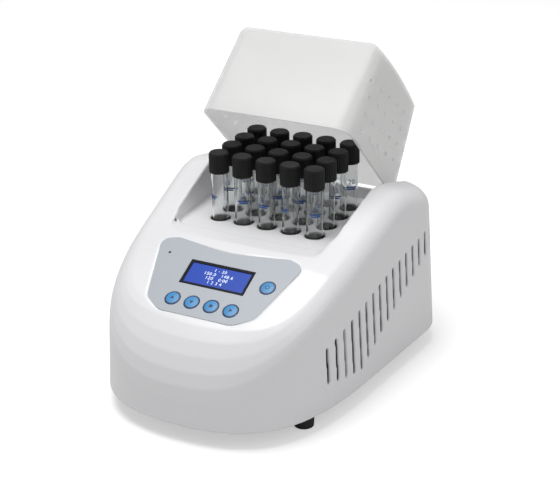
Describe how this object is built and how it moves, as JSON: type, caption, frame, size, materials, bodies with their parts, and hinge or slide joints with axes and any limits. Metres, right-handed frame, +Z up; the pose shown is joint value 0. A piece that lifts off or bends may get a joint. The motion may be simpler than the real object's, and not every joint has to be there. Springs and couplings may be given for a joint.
{
  "type": "chemical oxygen demand reactor",
  "caption": "Bench reactor that heats capped digestion tubes in a drilled block, with a sloping control panel and a hinged frosted hood.",
  "frame": {"origin": "on the surface it stands on, under the middle of the whole part with its hood open", "axes": "+Z up, +Y to the rear where the hood is hinged, +X to the right of someone facing the panel"},
  "size_m": [0.2622, 0.3564, 0.2958],
  "materials": {
    "white_moulding": "satin white moulding",
    "coated_steel": "grey powder coat",
    "rubber": "matt black rubber",
    "steel": "plain steel",
    "aluminium": "machined",
    "heater": "silicone heater pad",
    "insulation": "pressed mineral board",
    "overlay": "satin grey film",
    "display": "glossy blue display behind a black frame",
    "circuit_board": "green circuit board",
    "black_plastic": "fine grained",
    "clear_hood": "frosted clear plastic",
    "key": "blue key with a dark ring",
    "tube_glass": "clear borosilicate glass",
    "cap_plastic": "black ribbed cap"
  },
  "bodies": {
    "base": {"housing": "white_moulding", "base_plate": "coated_steel", "feet": "rubber", "screws": "steel", "heating_block": "aluminium", "heater_pad": "heater", "insulation_jacket": "insulation", "temperature_probe": "steel", "panel_overlay": "overlay", "display": "display", "control_board": "circuit_board", "hinge_pins": "steel", "power_inlet": "black_plastic"},
    "hood": {"hood": "clear_hood"},
    "rocker": {"rocker": "black_plastic"},
    "key_1": {"key_1": "key"},
    "key_2": {"key_2": "key"},
    "key_3": {"key_3": "key"},
    "key_4": {"key_4": "key"},
    "key_5": {"key_5": "key"},
    "tube_a1": {"tube_a1": "tube_glass", "cap_a1": "cap_plastic"},
    "tube_a2": {"tube_a2": "tube_glass", "cap_a2": "cap_plastic"},
    "tube_a3": {"tube_a3": "tube_glass", "cap_a3": "cap_plastic"},
    "tube_a4": {"tube_a4": "tube_glass", "cap_a4": "cap_plastic"},
    "tube_a5": {"tube_a5": "tube_glass", "cap_a5": "cap_plastic"},
    "tube_b1": {"tube_b1": "tube_glass", "cap_b1": "cap_plastic"},
    "tube_b2": {"tube_b2": "tube_glass", "cap_b2": "cap_plastic"},
    "tube_b3": {"tube_b3": "tube_glass", "cap_b3": "cap_plastic"},
    "tube_b4": {"tube_b4": "tube_glass", "cap_b4": "cap_plastic"},
    "tube_b5": {"tube_b5": "tube_glass", "cap_b5": "cap_plastic"},
    "tube_c1": {"tube_c1": "tube_glass", "cap_c1": "cap_plastic"},
    "tube_c2": {"tube_c2": "tube_glass", "cap_c2": "cap_plastic"},
    "tube_c3": {"tube_c3": "tube_glass", "cap_c3": "cap_plastic"},
    "tube_c4": {"tube_c4": "tube_glass", "cap_c4": "cap_plastic"},
    "tube_c5": {"tube_c5": "tube_glass", "cap_c5": "cap_plastic"},
    "tube_d1": {"tube_d1": "tube_glass", "cap_d1": "cap_plastic"},
    "tube_d2": {"tube_d2": "tube_glass", "cap_d2": "cap_plastic"},
    "tube_d3": {"tube_d3": "tube_glass", "cap_d3": "cap_plastic"},
    "tube_d4": {"tube_d4": "tube_glass", "cap_d4": "cap_plastic"},
    "tube_d5": {"tube_d5": "tube_glass", "cap_d5": "cap_plastic"}
  },
  "joints": [
    {"name": "hood_hinge", "type": "hinge", "parent": "base", "child": "hood", "pos_m": [0, 0.11079, 0.128], "axis": [-1, 0, 0], "range_deg": [-45, 0]},
    {"name": "key_1_press", "type": "slide", "parent": "base", "child": "key_1", "axis": [0, 0.4384, -0.8988], "range_m": [0, 0.0006], "stiffness_N_per_m": 400, "springref_m": -0.001},
    {"name": "key_2_press", "type": "slide", "parent": "base", "child": "key_2", "axis": [0, 0.4384, -0.8988], "range_m": [0, 0.0006], "stiffness_N_per_m": 400, "springref_m": -0.001},
    {"name": "key_3_press", "type": "slide", "parent": "base", "child": "key_3", "axis": [0, 0.4384, -0.8988], "range_m": [0, 0.0006], "stiffness_N_per_m": 400, "springref_m": -0.001},
    {"name": "key_4_press", "type": "slide", "parent": "base", "child": "key_4", "axis": [0, 0.4384, -0.8988], "range_m": [0, 0.0006], "stiffness_N_per_m": 400, "springref_m": -0.001},
    {"name": "key_5_press", "type": "slide", "parent": "base", "child": "key_5", "axis": [0, 0.4384, -0.8988], "range_m": [0, 0.0006], "stiffness_N_per_m": 400, "springref_m": -0.001},
    {"name": "rocker_tilt", "type": "hinge", "parent": "base", "child": "rocker", "pos_m": [-0.066, 0.12941, 0.05192], "axis": [1, 0, 0], "range_deg": [0, 16]},
    {"name": "tube_a1_lift", "type": "slide", "parent": "base", "child": "tube_a1", "axis": [0, 0, 1], "range_m": [0, 0.16]},
    {"name": "tube_a2_lift", "type": "slide", "parent": "base", "child": "tube_a2", "axis": [0, 0, 1], "range_m": [0, 0.16]},
    {"name": "tube_a3_lift", "type": "slide", "parent": "base", "child": "tube_a3", "axis": [0, 0, 1], "range_m": [0, 0.16]},
    {"name": "tube_a4_lift", "type": "slide", "parent": "base", "child": "tube_a4", "axis": [0, 0, 1], "range_m": [0, 0.16]},
    {"name": "tube_a5_lift", "type": "slide", "parent": "base", "child": "tube_a5", "axis": [0, 0, 1], "range_m": [0, 0.16]},
    {"name": "tube_b1_lift", "type": "slide", "parent": "base", "child": "tube_b1", "axis": [0, 0, 1], "range_m": [0, 0.03]},
    {"name": "tube_b2_lift", "type": "slide", "parent": "base", "child": "tube_b2", "axis": [0, 0, 1], "range_m": [0, 0.03]},
    {"name": "tube_b3_lift", "type": "slide", "parent": "base", "child": "tube_b3", "axis": [0, 0, 1], "range_m": [0, 0.03]},
    {"name": "tube_b4_lift", "type": "slide", "parent": "base", "child": "tube_b4", "axis": [0, 0, 1], "range_m": [0, 0.03]},
    {"name": "tube_b5_lift", "type": "slide", "parent": "base", "child": "tube_b5", "axis": [0, 0, 1], "range_m": [0, 0.03]},
    {"name": "tube_c1_lift", "type": "slide", "parent": "base", "child": "tube_c1", "axis": [0, 0, 1], "range_m": [0, 0.048]},
    {"name": "tube_c2_lift", "type": "slide", "parent": "base", "child": "tube_c2", "axis": [0, 0, 1], "range_m": [0, 0.048]},
    {"name": "tube_c3_lift", "type": "slide", "parent": "base", "child": "tube_c3", "axis": [0, 0, 1], "range_m": [0, 0.048]},
    {"name": "tube_c4_lift", "type": "slide", "parent": "base", "child": "tube_c4", "axis": [0, 0, 1], "range_m": [0, 0.048]},
    {"name": "tube_c5_lift", "type": "slide", "parent": "base", "child": "tube_c5", "axis": [0, 0, 1], "range_m": [0, 0.048]},
    {"name": "tube_d1_lift", "type": "slide", "parent": "base", "child": "tube_d1", "axis": [0, 0, 1], "range_m": [0, 0.066]},
    {"name": "tube_d2_lift", "type": "slide", "parent": "base", "child": "tube_d2", "axis": [0, 0, 1], "range_m": [0, 0.066]},
    {"name": "tube_d3_lift", "type": "slide", "parent": "base", "child": "tube_d3", "axis": [0, 0, 1], "range_m": [0, 0.066]},
    {"name": "tube_d4_lift", "type": "slide", "parent": "base", "child": "tube_d4", "axis": [0, 0, 1], "range_m": [0, 0.066]},
    {"name": "tube_d5_lift", "type": "slide", "parent": "base", "child": "tube_d5", "axis": [0, 0, 1], "range_m": [0, 0.066]}
  ]
}
